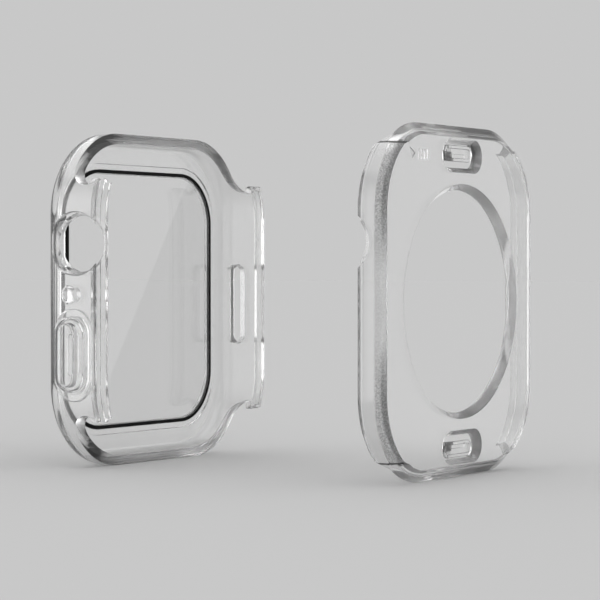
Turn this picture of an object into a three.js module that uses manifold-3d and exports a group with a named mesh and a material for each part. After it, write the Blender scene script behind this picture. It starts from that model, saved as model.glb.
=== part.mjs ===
// Two-piece clear bumper case for a rounded-rectangle smartwatch, shown taken apart.
// The front shell carries a built-in screen glass and the side button, and the rear
// cover carries two press tabs. Both halves stand on their lower edges, one behind
// the other, and the cover slides along Y until it closes on the shell.
//
// Millimetres, +Z up. X runs across the case with the crown side at -X.
// Y runs through its thickness: the screen faces +Y and the cover lies towards -Y.
// Every "depth" below is a distance behind the front face of the case.
import * as THREE from "three";
import { mergeVertices } from "three/addons/utils/BufferGeometryUtils.js";
import Module from "manifold-3d";

// Outside of the closed case
const caseHeight = 47.4;
const caseWidth = 42.8;
const cornerRadius = 11.8;

// Walls and depths of the front shell
const sideWall = 2.2;
const endWall = 1.5;
const frontPlate = 1.2;
const frontRounding = 2.2;
const rimDepth = 4.0;
const shellDepth = 8.8;
const edgeBreak = 0.3;

// Side walls of the shell, where they rise behind the two band openings.
// Each "from end" or "from side" below is a distance in from that outer face of the case.
const riseStartFromEnd = 4.8;
const riseFootFromEnd = 7.7;
const riseRun = 2.4;
const hornHeight = 0.9;
const hornLead = 0.9;

// Tongue and groove between the shell and the cover
const seamGap = 0.1;
const lipLength = 0.8;
const lipThickness = 0.6;
const lipInset = 0.65;
const lipClearance = 0.1;
const tongueLength = 0.8;

// Built-in screen glass, with its black edge ring and its bond to the front plate
const glassFromSide = 4.07;
const glassFromEnd = 5.52;
const glassCorner = 7.2;
const glassThickness = 0.55;
const edgeRingWidth = 0.45;
const bondThickness = 0.15;
const bondGap = 0.02;
const lipOverGlass = 0.2;
const ledgeWidth = 0.85;
const ledgeStep = 0.25;

// Openings in the crown side of the shell, above or below the middle of the case.
// The crown's height is a share of half the height of the case.
const crownRadius = 4.3;
const crownInnerRadius = 3.8;
const crownDepth = 5.5;
const crownHeightShare = 1 / 3;
const microphoneRadius = 1.1;
const microphoneHeight = 0.8;
const buttonDepth = 4.4;

// Side button. Its hole lies between the lower rise and the microphone hole.
const buttonFromRise = 3.2;
const buttonFromMicrophone = 2.1;
const buttonHoleWidth = 4.7;
const buttonClearance = 0.2;
const padFromHoleEnd = 0.7;
const padWidth = 2.8;
const padProud = 0.9;
const padRounding = 0.4;
const flangeReach = 0.5;
const flangeThickness = 0.35;
const buttonTravel = 0.3;
const retainerThickness = 0.25;
const retainerWidth = 0.75;
const pusherFromPadEnd = 1.5;
const pusherWidth = 1.6;

// Speaker opening in the far side of the shell
const speakerLength = 12.0;
const speakerWidth = 2.6;
const speakerHeight = -1.0;

// Rear cover
const coverDepth = 3.3;
const backPlate = 1.3;
const skirtThickness = 1.35;
const sideBevel = 1.2;
const endBevel = 1.55;
const endEdge = 1.75;
const skirtEndFromEnd = 3.1;
const skirtEndRun = 1.0;
const frostFromEnd = 3.5;
const sensorFlare = 0.8;
const sensorToSlot = 1.55;

// Slots in the cover over the two band release buttons, each with its press tab
const slotFromEnd = 4.1;
const slotLength = 9.6;
const slotWidth = 3.2;
const slotFlare = 0.65;
const slotFloor = 0.7;
const tabLength = 7.8;
const tabWidth = 2.2;
const tabHingeGap = 0.15;
const tabBarLength = 5.0;
const tabBarWidth = 0.7;
const tabBarRise = 0.35;

// Opening mark on the back: an arrow head and grip bars, all cut in
const markDepth = 0.15;
const markFromSide = 7.0;
const markFromEnd = 3.4;
const arrowSize = 1.5;
const barLength = 1.3;
const barWidth = 0.35;
const barPitch = 0.8;
const barCount = 4;

// How far the cover stands behind its closed place
const openDistance = 42.6;

// Fineness of curves, and how far a cutting tool runs past what it cuts
const cornerSteps = 12;
const roundSteps = 6;
const profileSteps = 8;
const sensorSteps = 72;
const overrun = 1.0;
const pointGap = 0.001;

// Places that follow from the sizes above
const halfHeight = caseHeight / 2;
const halfWidth = caseWidth / 2;
const riseStart = halfHeight - riseStartFromEnd;
const riseFoot = halfHeight - riseFootFromEnd;
const skirtEnd = halfHeight - skirtEndFromEnd;
const frostEnd = halfHeight - frostFromEnd;
const slotHeight = halfHeight - slotFromEnd;
const markHeight = halfHeight - markFromEnd;
const markX = markFromSide - halfWidth;
const sensorRadius = slotHeight - slotWidth / 2 - slotFlare - sensorToSlot - sensorFlare;
const crownHeight = halfHeight * crownHeightShare;
const buttonHoleTop = microphoneHeight - microphoneRadius - buttonFromMicrophone;
const buttonHoleFoot = buttonFromRise - riseFoot;
const buttonHoleLength = buttonHoleTop - buttonHoleFoot;
const buttonHeight = (buttonHoleTop + buttonHoleFoot) / 2;
const padLength = buttonHoleLength - 2 * padFromHoleEnd;
const pusherLength = padLength - 2 * pusherFromPadEnd;
const glassWidth = caseWidth - 2 * glassFromSide;
const glassHeight = caseHeight - 2 * glassFromEnd;
const ringWidth = glassWidth + 2 * (edgeRingWidth + bondGap);
const ringHeight = glassHeight + 2 * (edgeRingWidth + bondGap);
const ringCorner = glassCorner + edgeRingWidth + bondGap;
const lipDepth = frontPlate - glassThickness - bondThickness;
const skirtFront = shellDepth + seamGap;
const backDepth = skirtFront + coverDepth;
const plateInside = backDepth - backPlate;
const tongueDepth = shellDepth + tongueLength;
const tongueInset = skirtThickness + lipClearance;
const grooveInset = lipInset - lipClearance;
const grooveWidth = lipThickness + 2 * lipClearance;
const grooveDepth = skirtFront - lipLength - 2 * lipClearance;
const pocketFloor = halfWidth - sideWall + flangeThickness + buttonTravel + retainerThickness;

const wasm = await Module();
wasm.setup();

// Closed solid from a three.js geometry.
function toSolid(geometry) {
  const bare = geometry.clone();
  bare.deleteAttribute("normal");
  bare.deleteAttribute("uv");
  const merged = mergeVertices(bare, 1e-5);
  return new wasm.Manifold(
    new wasm.Mesh({
      numProp: 3,
      vertProperties: new Float32Array(merged.attributes.position.array),
      triVerts: new Uint32Array(merged.index.array),
    }),
  );
}

// Geometry of a finished solid.
function toGeometry(solid) {
  const mesh = solid.getMesh();
  const geometry = new THREE.BufferGeometry();
  geometry.setAttribute("position", new THREE.BufferAttribute(mesh.vertProperties, mesh.numProp));
  geometry.setIndex(new THREE.BufferAttribute(mesh.triVerts, 1));
  geometry.computeVertexNormals();
  return geometry;
}

// Rounded rectangle about the origin, each corner an arc in a number of steps.
function outline(width, height, radius, steps = cornerSteps) {
  const points = [];
  for (let corner = 0; corner < 4; corner += 1) {
    const x = (corner === 0 || corner === 3 ? 1 : -1) * (width / 2 - radius);
    const z = (corner < 2 ? 1 : -1) * (height / 2 - radius);
    for (let step = 0; step <= steps; step += 1) {
      const angle = ((corner + step / steps) * Math.PI) / 2;
      points.push(new THREE.Vector2(x + radius * Math.cos(angle), z + radius * Math.sin(angle)));
    }
  }
  const distinct = points.filter((point, i) => point.distanceTo(points.at(i - 1)) > pointGap);
  return new THREE.Shape(distinct);
}

// Outline of the case, moved inwards by one distance all round.
function caseOutline(inset) {
  return outline(caseWidth - 2 * inset, caseHeight - 2 * inset, cornerRadius - inset);
}

// Slot shape with round ends: the long way is along the second axis when upright is true.
function slotShape(length, width, upright) {
  const radius = width / 2;
  return upright ? outline(width, length, radius, roundSteps) : outline(length, width, radius, roundSteps);
}

// Extrudes a shape with its ends drawn in: run is how far in, rise is how far along.
function drawnExtrude(shape, length, run, rise, steps) {
  return new THREE.ExtrudeGeometry(shape, {
    depth: length,
    curveSegments: profileSteps,
    bevelEnabled: steps > 0,
    bevelSize: run,
    bevelThickness: rise,
    bevelSegments: steps,
  });
}

// Solid that stands in the plane of the case, between two depths behind the front face.
function through(shape, fromDepth, toDepth) {
  const geometry = drawnExtrude(shape, toDepth - fromDepth, 0, 0, 0);
  geometry.rotateX(Math.PI / 2);
  geometry.translate(0, -fromDepth, 0);
  return toSolid(geometry);
}

// The same, with both ends drawn in from an inset shape out to the full one.
function throughDrawn(insetShape, fromDepth, toDepth, run, rise, steps) {
  const geometry = drawnExtrude(insetShape, toDepth - fromDepth - 2 * rise, run, rise, steps);
  geometry.rotateX(Math.PI / 2);
  geometry.translate(0, -fromDepth - rise, 0);
  return toSolid(geometry);
}

// Solid that runs across the case between two X places, from a shape drawn in Y and Z.
function across(shape, fromX, toX, run = 0, rise = 0, steps = 0) {
  const geometry = drawnExtrude(shape, toX - fromX - 2 * rise, run, rise, steps);
  const basis = new THREE.Matrix4().makeBasis(
    new THREE.Vector3(0, 1, 0),
    new THREE.Vector3(0, 0, 1),
    new THREE.Vector3(1, 0, 0),
  );
  geometry.applyMatrix4(basis);
  geometry.translate(fromX + rise, 0, 0);
  return toSolid(geometry);
}

// Box between two corners.
function block(low, high) {
  const size = new THREE.Vector3().subVectors(high, low);
  const geometry = new THREE.BoxGeometry(size.x, size.y, size.z);
  geometry.translate((low.x + high.x) / 2, (low.y + high.y) / 2, (low.z + high.z) / 2);
  return toSolid(geometry);
}

// Round opening across one side wall, moved to its depth and height.
function sideBore(radius, fromX, toX, depth, height) {
  const disc = outline(2 * radius, 2 * radius, radius, roundSteps);
  return across(disc, fromX, toX).translate([0, -depth, height]);
}

// Crown opening: wide in the outer wall, narrower where the tongue passes behind it.
function crownOpening() {
  const outside = -halfWidth - overrun;
  const tongueFace = -halfWidth + tongueInset;
  const inside = -halfWidth + sideWall + overrun;
  const wide = sideBore(crownRadius, outside, tongueFace, crownDepth, crownHeight);
  const narrow = sideBore(crownInnerRadius, outside, inside, crownDepth, crownHeight);
  return wide.add(narrow);
}

// Tool that clears the wall of the shell behind the rim at one band opening.
// It leaves the rounded rise of the side wall and the small horn at its end.
function bandCutter() {
  const top = halfHeight + overrun;
  const foot = rimDepth + riseRun;
  const horn = foot + hornLead;
  const hornTop = riseFoot + hornHeight;
  const back = tongueDepth + overrun;
  const shape = new THREE.Shape();
  shape.moveTo(-rimDepth, top);
  shape.lineTo(-back, top);
  shape.lineTo(-back, riseFoot + edgeBreak);
  shape.lineTo(-shellDepth, riseFoot + edgeBreak);
  shape.quadraticCurveTo(-shellDepth, hornTop, -shellDepth + edgeBreak, hornTop);
  shape.lineTo(-horn, hornTop);
  shape.bezierCurveTo(-horn + edgeBreak, hornTop, -foot - edgeBreak, riseFoot, -foot, riseFoot);
  shape.bezierCurveTo(-rimDepth - riseRun / 2, riseFoot, -rimDepth, hornTop, -rimDepth, riseStart);
  return across(shape, -halfWidth - overrun, halfWidth + overrun);
}

// Clear front shell: front plate with the screen window, rounded outer wall, shallow
// rims at the band openings and deep side walls that end in a tongue and a groove.
function frontShell() {
  const back = tongueDepth + frontRounding + overrun;
  const body = throughDrawn(caseOutline(frontRounding), 0, back, frontRounding, frontRounding, 5);
  const cavityShape = outline(
    caseWidth - 2 * sideWall,
    caseHeight - 2 * endWall,
    cornerRadius - (sideWall + endWall) / 2,
  );
  const tail = block(
    new THREE.Vector3(-caseWidth, -back - overrun, -caseHeight),
    new THREE.Vector3(caseWidth, -tongueDepth, caseHeight),
  );
  const outerLand = through(caseOutline(-overrun), shellDepth, back).subtract(
    through(caseOutline(tongueInset), shellDepth - overrun, back + overrun),
  );
  const groove = through(caseOutline(grooveInset), grooveDepth, back).subtract(
    through(caseOutline(grooveInset + grooveWidth), grooveDepth - overrun, back + overrun),
  );
  const window = outline(
    ringWidth - 2 * (edgeRingWidth + lipOverGlass),
    ringHeight - 2 * (edgeRingWidth + lipOverGlass),
    ringCorner - edgeRingWidth - lipOverGlass,
  );
  const pocket = outline(ringWidth + 2 * bondGap, ringHeight + 2 * bondGap, ringCorner + bondGap);
  const ledge = outline(ringWidth + 2 * ledgeWidth, ringHeight + 2 * ledgeWidth, ringCorner + ledgeWidth);
  const buttonPocket = slotShape(
    buttonHoleLength + 2 * (flangeReach + retainerWidth),
    buttonHoleWidth + 2 * flangeReach + 2 * buttonClearance,
    true,
  );
  const inside = -halfWidth + sideWall + overrun;
  const topCutter = bandCutter();
  return body
    .subtract(through(cavityShape, frontPlate, back + overrun))
    .subtract(tail)
    .subtract(outerLand)
    .subtract(groove)
    .subtract(through(window, -overrun, frontPlate + overrun))
    .subtract(through(pocket, lipDepth, frontPlate + overrun))
    .subtract(through(ledge, frontPlate - ledgeStep, frontPlate + overrun))
    .subtract(topCutter)
    .subtract(topCutter.mirror([0, 0, 1]))
    .subtract(crownOpening())
    .subtract(sideBore(microphoneRadius, -halfWidth - overrun, inside, buttonDepth, microphoneHeight))
    .subtract(
      across(slotShape(buttonHoleLength, buttonHoleWidth, true), -halfWidth - overrun, inside).translate([
        0, -buttonDepth, buttonHeight,
      ]),
    )
    .subtract(across(buttonPocket, -pocketFloor, inside).translate([0, -buttonDepth, buttonHeight]))
    .subtract(
      across(slotShape(speakerLength, speakerWidth, true), -inside, halfWidth + overrun).translate([
        0, -buttonDepth, speakerHeight,
      ]),
    );
}

// Flat screen glass that fills the black edge ring.
function screenGlass() {
  return through(outline(glassWidth, glassHeight, glassCorner), frontPlate - glassThickness, frontPlate);
}

// Ring between two outlines of the screen opening, between two depths.
function screenRing(outerGrow, innerGrow, fromDepth, toDepth) {
  const grown = (grow) => outline(glassWidth + 2 * grow, glassHeight + 2 * grow, glassCorner + grow);
  return through(grown(outerGrow), fromDepth, toDepth).subtract(
    through(grown(innerGrow), fromDepth - overrun, toDepth + overrun),
  );
}

// Black ring round the edge of the glass.
function glassEdgeRing() {
  return screenRing(edgeRingWidth + bondGap, bondGap, frontPlate - glassThickness, frontPlate);
}

// Thin bond between the glass with its ring and the lip of the front plate.
function glassBond() {
  return screenRing(edgeRingWidth + bondGap, -lipOverGlass + bondGap, lipDepth, lipDepth + bondThickness);
}

// Side button: raised pad, stem through the wall, flange behind the wall and a pusher.
function sideButton() {
  const flangeFace = -pocketFloor;
  const stemLength = buttonHoleLength - 2 * buttonClearance;
  const stemWidth = buttonHoleWidth - 2 * buttonClearance;
  const padShape = slotShape(padLength - 2 * padRounding, padWidth - 2 * padRounding, true);
  const pad = across(padShape, -halfWidth - padProud, flangeFace, padRounding, padRounding, 4);
  const stem = across(slotShape(stemLength, stemWidth, true), -halfWidth, flangeFace + flangeThickness);
  const flangeShape = slotShape(stemLength + 2 * flangeReach, stemWidth + 2 * flangeReach, true);
  const flange = across(flangeShape, flangeFace, flangeFace + flangeThickness);
  const pusher = across(slotShape(pusherLength, pusherWidth, true), flangeFace, -halfWidth + sideWall);
  return pad.add(stem).add(flange).add(pusher).translate([0, -buttonDepth, buttonHeight]);
}

// Thin frame glued in the pocket inside the wall, which keeps the button's flange in.
function buttonRetainer() {
  const inside = -halfWidth + sideWall;
  const length = buttonHoleLength + 2 * (flangeReach + retainerWidth) - 2 * bondGap;
  const width = buttonHoleWidth + 2 * flangeReach + 2 * buttonClearance - 2 * bondGap;
  const frame = across(slotShape(length, width, true), inside - retainerThickness, inside);
  const hole = across(
    slotShape(length - 2 * retainerWidth - 2 * flangeReach, width - 2 * retainerWidth - flangeReach, true),
    inside - retainerThickness - overrun,
    inside + overrun,
  );
  return frame.subtract(hole).translate([0, -buttonDepth, buttonHeight]);
}

// Opening for the sensor bump: straight towards the watch and flared at the back.
function sensorOpening() {
  const points = [
    new THREE.Vector2(0, -backDepth - overrun),
    new THREE.Vector2(sensorRadius + sensorFlare, -backDepth - overrun),
    new THREE.Vector2(sensorRadius + sensorFlare, -backDepth),
    new THREE.Vector2(sensorRadius, -backDepth + sensorFlare),
    new THREE.Vector2(sensorRadius, -plateInside + overrun),
    new THREE.Vector2(0, -plateInside + overrun),
  ];
  return toSolid(new THREE.LatheGeometry(points, sensorSteps));
}

// Slot over a band release button: straight hole with a flared mouth at the back.
function releaseSlot() {
  const hole = slotShape(slotLength, slotWidth, false);
  const straight = through(hole, plateInside - overrun, backDepth + overrun);
  const mouth = throughDrawn(
    hole,
    backDepth - slotFloor,
    backDepth + overrun + slotFloor,
    slotFlare,
    slotFloor,
    1,
  );
  return straight.add(mouth);
}

// Opening mark: an arrow head towards the corner and a row of grip bars.
function openingMark() {
  const arrow = new THREE.Shape();
  arrow.moveTo(0, 0);
  arrow.lineTo(arrowSize, -arrowSize / 2);
  arrow.lineTo(arrowSize / 2, -arrowSize);
  let mark = through(arrow, backDepth - markDepth, backDepth + overrun);
  for (let bar = 1; bar <= barCount; bar += 1) {
    const left = arrowSize + bar * barPitch;
    mark = mark.add(
      block(
        new THREE.Vector3(left, -backDepth - overrun, -arrowSize),
        new THREE.Vector3(left + barWidth, -backDepth + markDepth, -arrowSize + barLength),
      ),
    );
  }
  return mark.translate([markX, 0, markHeight]);
}

// Body of the cover with one bevel all round its back edge.
function coverBody(bevel) {
  const front = skirtFront - bevel - overrun;
  return throughDrawn(caseOutline(bevel), front, backDepth, bevel, bevel, 1);
}

// Tool that takes the skirt away at one band opening and leaves the plate edge.
function coverEndCutter() {
  const top = halfHeight + overrun;
  const front = skirtFront - lipLength - overrun;
  const edge = backDepth - endEdge;
  const shape = new THREE.Shape();
  shape.moveTo(-front, top);
  shape.lineTo(-edge, top);
  shape.lineTo(-edge, skirtEnd + skirtEndRun);
  shape.lineTo(-skirtFront, skirtEnd);
  shape.lineTo(-front, skirtEnd);
  return across(shape, -halfWidth - overrun, halfWidth + overrun);
}

// Clear rear cover: back plate with the sensor opening and two slots, skirts along the
// sides and round the corners, and a thin lip that enters the groove of the shell.
function rearCover() {
  const lip = through(caseOutline(lipInset), skirtFront - lipLength, plateInside).subtract(
    through(caseOutline(lipInset + lipThickness), skirtFront - lipLength - overrun, plateInside + overrun),
  );
  const front = block(
    new THREE.Vector3(-caseWidth, -skirtFront, -caseHeight),
    new THREE.Vector3(caseWidth, 0, caseHeight),
  );
  const endBody = coverBody(endBevel);
  const endZone = (sign) =>
    block(
      new THREE.Vector3(-caseWidth, -backDepth - overrun, Math.min(sign * frostEnd, sign * caseHeight)),
      new THREE.Vector3(caseWidth, 0, Math.max(sign * frostEnd, sign * caseHeight)),
    ).subtract(endBody);
  const endCutter = coverEndCutter();
  const cavity = through(caseOutline(skirtThickness), shellDepth - overrun, plateInside);
  return coverBody(sideBevel)
    .subtract(front)
    .subtract(cavity)
    .add(lip)
    .subtract(endCutter)
    .subtract(endCutter.mirror([0, 0, 1]))
    .subtract(endZone(1))
    .subtract(endZone(-1))
    .subtract(sideBore(crownRadius, -halfWidth - overrun, -halfWidth + sideWall, crownDepth, crownHeight))
    .subtract(sensorOpening())
    .subtract(releaseSlot().translate([0, 0, slotHeight]))
    .subtract(releaseSlot().translate([0, 0, -slotHeight]))
    .subtract(openingMark());
}

// Press tab in the upper slot: it hangs from the outer edge of its slot and carries a
// bar that reaches the release button of the band.
function releaseTab() {
  const top = slotWidth / 2 - tabHingeGap;
  const plateShape = slotShape(tabLength, tabWidth, false);
  const plate = through(plateShape, plateInside, backDepth - slotFloor).translate([0, 0, top - tabWidth / 2]);
  const barShape = slotShape(tabBarLength, tabBarWidth, false);
  const bar = through(barShape, plateInside - tabBarRise, plateInside + tabBarRise);
  return plate.add(bar.translate([0, 0, top - tabWidth + tabBarWidth])).translate([0, 0, slotHeight]);
}

// Finishes of the pieces.
const clearPlastic = { color: 0xdcdddd, roughness: 0.08, metalness: 0 };
const clearGlass = { color: 0xe6e8e8, roughness: 0.02, metalness: 0 };
const blackInk = { color: 0x0b0b0c, roughness: 0.35, metalness: 0 };
const clearBond = { color: 0x2a2a2c, roughness: 0.4, metalness: 0 };

// Named mesh for one piece, with a material of its own.
function piece(name, solid, finish) {
  const mesh = new THREE.Mesh(toGeometry(solid), new THREE.MeshStandardMaterial(finish));
  mesh.name = name;
  return mesh;
}

const shellGroup = new THREE.Group();
shellGroup.add(
  piece("front_shell", frontShell(), clearPlastic),
  piece("screen_glass", screenGlass(), clearGlass),
  piece("glass_edge_ring", glassEdgeRing(), blackInk),
  piece("glass_bond", glassBond(), clearBond),
  piece("side_button", sideButton(), clearPlastic),
  piece("side_button_retainer", buttonRetainer(), clearPlastic),
);

const coverGroup = new THREE.Group();
coverGroup.add(
  piece("rear_cover", rearCover(), clearPlastic),
  piece("upper_release_tab", releaseTab(), clearPlastic),
  piece("lower_release_tab", releaseTab().mirror([0, 0, 1]), clearPlastic),
);
coverGroup.position.y = -openDistance;

// The origin is under the middle of the whole part, on the surface it stands on.
const bumperCase = new THREE.Group();
bumperCase.add(shellGroup, coverGroup);
bumperCase.position.set(padProud / 2, (openDistance + backDepth) / 2, halfHeight);

export default bumperCase;
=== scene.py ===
"""Looks of a clear two-piece watch case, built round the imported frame.

Every length is in metres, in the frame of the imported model: X runs across the case with the
crown side at -X, Y runs through its thickness with the screen at +Y, and Z is up. A depth is
a distance behind the front face of the case, so it grows towards -Y. The points that outlines
and tools are given by are in millimetres.
"""
import logging
import math
from collections.abc import Callable, Iterable, Sequence
from dataclasses import dataclass
from enum import Enum
from functools import cache

import bmesh
import bpy
from bpy.types import Material, Modifier, Node, NodeSocket, NodeTree, Object
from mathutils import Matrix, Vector


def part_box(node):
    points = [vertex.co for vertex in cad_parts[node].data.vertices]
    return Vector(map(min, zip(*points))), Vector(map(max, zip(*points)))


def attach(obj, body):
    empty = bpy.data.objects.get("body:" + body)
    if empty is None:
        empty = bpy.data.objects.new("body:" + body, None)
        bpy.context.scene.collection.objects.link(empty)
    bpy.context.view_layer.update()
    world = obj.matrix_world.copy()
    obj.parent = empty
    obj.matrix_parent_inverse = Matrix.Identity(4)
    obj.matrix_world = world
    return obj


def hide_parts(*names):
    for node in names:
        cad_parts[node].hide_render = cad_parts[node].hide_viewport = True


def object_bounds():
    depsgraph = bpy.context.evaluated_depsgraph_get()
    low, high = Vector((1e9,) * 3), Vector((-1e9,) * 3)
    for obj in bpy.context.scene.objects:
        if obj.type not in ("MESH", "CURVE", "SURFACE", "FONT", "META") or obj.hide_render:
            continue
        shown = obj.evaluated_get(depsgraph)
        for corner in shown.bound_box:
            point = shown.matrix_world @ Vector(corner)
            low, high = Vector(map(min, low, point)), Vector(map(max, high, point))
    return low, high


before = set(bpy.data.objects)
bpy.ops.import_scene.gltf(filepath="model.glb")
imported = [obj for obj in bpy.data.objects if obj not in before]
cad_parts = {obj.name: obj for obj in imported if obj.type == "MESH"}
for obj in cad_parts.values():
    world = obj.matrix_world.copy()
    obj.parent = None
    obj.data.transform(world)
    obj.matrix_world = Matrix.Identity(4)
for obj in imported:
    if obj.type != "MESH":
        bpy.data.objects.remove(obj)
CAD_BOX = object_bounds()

logging.basicConfig(level=logging.INFO, format="%(message)s")
log = logging.getLogger("bumper_case")

Point = tuple[float, float]
Triple = tuple[float, float, float]
Test = Callable[[Vector, Vector], bool]
Shade = Callable[[Vector, Vector], float]

MM = 0.001
WELD = 0.002 * MM
SLIVER = 0.0005 * MM
SMOOTH_ANGLE = math.radians(32.0)
SHARP_ANGLE = math.radians(38.0)
CORNER_STEPS = 28
ROUND_STEPS = 12
BORE_STEPS = 96
BEAM_REACH = 22.4 * MM
ACROSS = Vector((1, 0, 0))
THROUGH = Vector((0, 1, 0))
UP = Vector((0, 0, 1))


class Way(Enum):
    """The axis that the rings of a lofted piece are strung along."""

    DEPTH = "depth"
    SIDE = "side"


class Cut(Enum):
    """How a tool works on a piece."""

    AWAY = "DIFFERENCE"
    ONTO = "UNION"


@dataclass(frozen=True)
class Place:
    """Where one half of the case stands: its middle, and the Y of its closed front face."""

    middle_x: float
    middle_z: float
    face_y: float

    def at(self, x: float, depth: float, z: float) -> Vector:
        """Point at a distance across, a depth and a height from the middle of the case."""
        return Vector((self.middle_x + x, self.face_y - depth, self.middle_z + z))

    def down(self, z: float = 0.0) -> Callable[[float], Vector]:
        """Gives a point in the middle of the case, at one height, from its depth."""
        return lambda depth: self.at(0, depth, z)

    def along(self, x: float, depth: float, z: float) -> Callable[[float], Vector]:
        """Gives a point at one depth and height, from how far across it lies past x."""
        return lambda past: self.at(x + past, depth, z)

    def spot(self, point: Vector) -> tuple[float, float, float]:
        """Distance across, depth and height of a point, in millimetres."""
        x, z = point.x - self.middle_x, point.z - self.middle_z
        return x / MM, (self.face_y - point.y) / MM, z / MM


@dataclass(frozen=True)
class Outline:
    """A rounded rectangle that the rings of a piece are offset from.

    Attributes:
        length: Size across the case, or along the depth for a piece in a side wall.
        height: Size along Z.
        radius: Radius of the corners.
    """

    length: float
    height: float
    radius: float

    def inside(self, gap: float) -> "Outline":
        """Outline that lies a gap inside this one."""
        return Outline(self.length - 2 * gap, self.height - 2 * gap, self.radius - gap)


Rows = Sequence[tuple[Outline, Sequence[Point]]]


def turn(start: Point, corner: Point, end: Point, steps: int) -> list[Point]:
    """Points of a quarter ellipse that rounds a corner.

    Args:
        start: First point, as (inset, station).
        corner: The sharp corner that the curve rounds.
        end: Last point.
        steps: Number of chords.

    Returns:
        The points, both ends included.
    """
    points = []
    for step in range(steps + 1):
        angle = math.pi / 2 * step / steps
        a, b = math.sin(angle), 1 - math.cos(angle)
        rows = zip(start, corner, end)
        points.append(tuple(s + (c - s) * a + (e - c) * b for s, c, e in rows))
    return points


def ramp(value: float, points: Sequence[Point]) -> float:
    """Value on a line through some points, level past both ends.

    Args:
        value: Where it is looked up.
        points: Row of (place, value) points.

    Returns:
        The value there.
    """
    if value <= points[0][0]:
        return points[0][1]
    for (left, low), (right, high) in zip(points, points[1:]):
        if value <= right:
            return low + (high - low) * (value - left) / (right - left)
    return points[-1][1]


def pick(piece: Object) -> None:
    """Makes a piece the active object and the only one that is selected.

    Args:
        piece: The mesh.
    """
    bpy.ops.object.select_all(action="DESELECT")
    piece.select_set(True)
    bpy.context.view_layer.objects.active = piece


def open_up(piece: Object, kind: str) -> None:
    """Picks a piece and enters edit mode.

    Args:
        piece: The mesh.
        kind: What is selected there: VERT, EDGE or FACE.
    """
    pick(piece)
    bpy.ops.object.mode_set(mode="EDIT")
    bpy.ops.mesh.select_mode(type=kind)


def close_up(piece: Object) -> None:
    """Merges doubles, points all faces outwards and leaves edit mode.

    Args:
        piece: The mesh that is in edit mode.
    """
    bpy.ops.mesh.select_all(action="SELECT")
    bpy.ops.mesh.remove_doubles(threshold=WELD)
    bpy.ops.mesh.normals_make_consistent(inside=False)
    bpy.ops.object.mode_set(mode="OBJECT")


def begin(name: str, location: Vector, rotation: Triple) -> Object:
    """Adds a unit plane as the start of a piece, and opens it.

    Args:
        name: Name of the new object.
        location: Where the plane goes.
        rotation: How the plane is turned.

    Returns:
        The new object, in edit mode, with its origin at the origin of the frame.
    """
    bpy.ops.object.select_all(action="DESELECT")
    bpy.ops.mesh.primitive_plane_add(size=1.0, location=location, rotation=rotation)
    made = bpy.context.active_object
    made.name = name
    made.data.name = name
    bpy.ops.object.transform_apply(location=True, rotation=True, scale=True)
    open_up(made, "VERT")
    return made


def shape_ring(
    piece: Object, number: int, ring: Outline, way: Way, middle: Vector, steps: int
) -> None:
    """Turns the selected unit plane into one numbered ring of edges, in edit mode.

    Args:
        piece: The object in edit mode.
        number: Number that the ring's vertices are tagged with.
        ring: Size of the ring.
        way: Axis of the loft.
        middle: Middle of the plane.
        steps: Chords in each corner.
    """
    value = (ring.length, 1, ring.height) if way is Way.DEPTH else (1, ring.length, ring.height)
    bpy.ops.transform.resize(value=value, center_override=middle)
    bpy.ops.mesh.bevel(
        offset_type="OFFSET",
        offset=ring.radius,
        segments=steps,
        profile=0.5,
        affect="VERTICES",
        clamp_overlap=False,
    )
    mesh = bmesh.from_edit_mesh(piece.data)
    tag = mesh.verts.layers.int["ring"]
    for vert in mesh.verts:
        if vert.select:
            vert[tag] = number
    bmesh.update_edit_mesh(piece.data)
    bpy.ops.mesh.delete(type="ONLY_FACE")


def select_rings(piece: Object, *numbers: int) -> None:
    """Selects the edges of some rings, in edit mode.

    Args:
        piece: The object in edit mode.
        numbers: Numbers of the rings.
    """
    bpy.ops.mesh.select_all(action="DESELECT")
    mesh = bmesh.from_edit_mesh(piece.data)
    tag = mesh.verts.layers.int["ring"]
    for edge in mesh.edges:
        first, second = (vert[tag] for vert in edge.verts)
        if first == second and first in numbers:
            edge.select_set(True)
    bmesh.update_edit_mesh(piece.data)


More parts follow.
